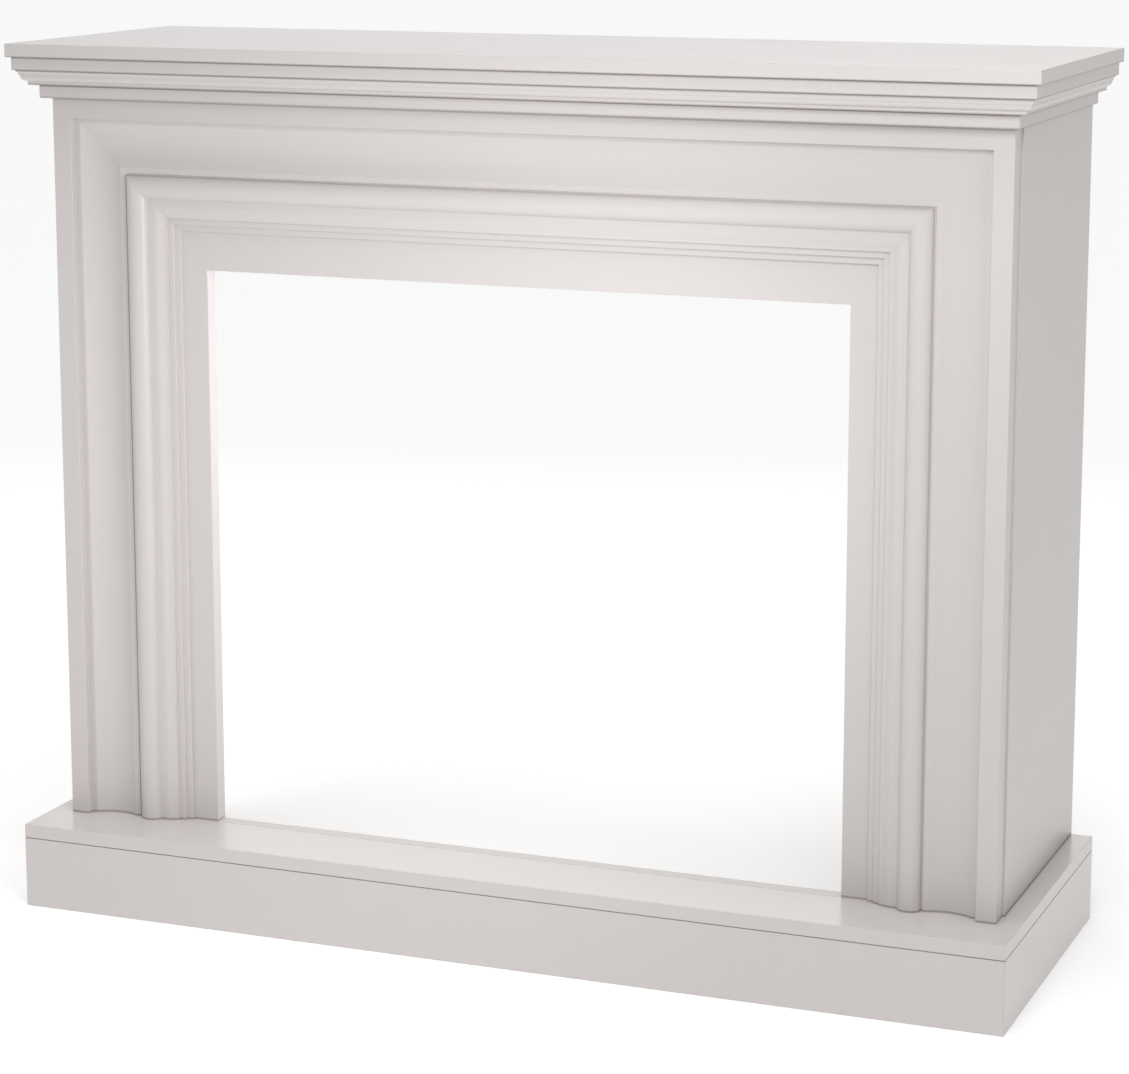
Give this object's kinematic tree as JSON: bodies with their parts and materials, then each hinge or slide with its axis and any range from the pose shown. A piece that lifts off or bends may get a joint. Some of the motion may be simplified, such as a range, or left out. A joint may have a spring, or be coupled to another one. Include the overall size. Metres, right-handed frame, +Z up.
{
  "type": "fireplace mantelpiece",
  "caption": "Painted fireplace surround with a stepped cornice and shelf, a wide mitred moulding round the firebox opening, and a hearth on a low plinth.",
  "frame": {"origin": "on the floor, under the middle of the plinth's rectangular outline", "axes": "+X along the shelf to the right as seen from the room, +Y back towards the wall, +Z up"},
  "size_m": [1.1844, 0.411, 1.0007],
  "materials": {
    "board_paint": "satin off-white paint on fibreboard",
    "moulding_paint": "satin off-white paint on moulded fibreboard",
    "hearth_paint": "semi-gloss off-white paint on fibreboard"
  },
  "bodies": {
    "root": {"mantel_shelf": "board_paint", "bearer_board": "board_paint", "crown_board": "moulding_paint", "neck_board": "board_paint", "front_panel": "board_paint", "head_moulding": "moulding_paint", "jamb_moulding_left": "moulding_paint", "jamb_moulding_right": "moulding_paint", "side_panel_left": "board_paint", "side_panel_right": "board_paint", "hearth_board": "hearth_paint", "plinth_front": "hearth_paint", "plinth_side_left": "hearth_paint", "plinth_side_right": "hearth_paint"}
  },
  "joints": []
}
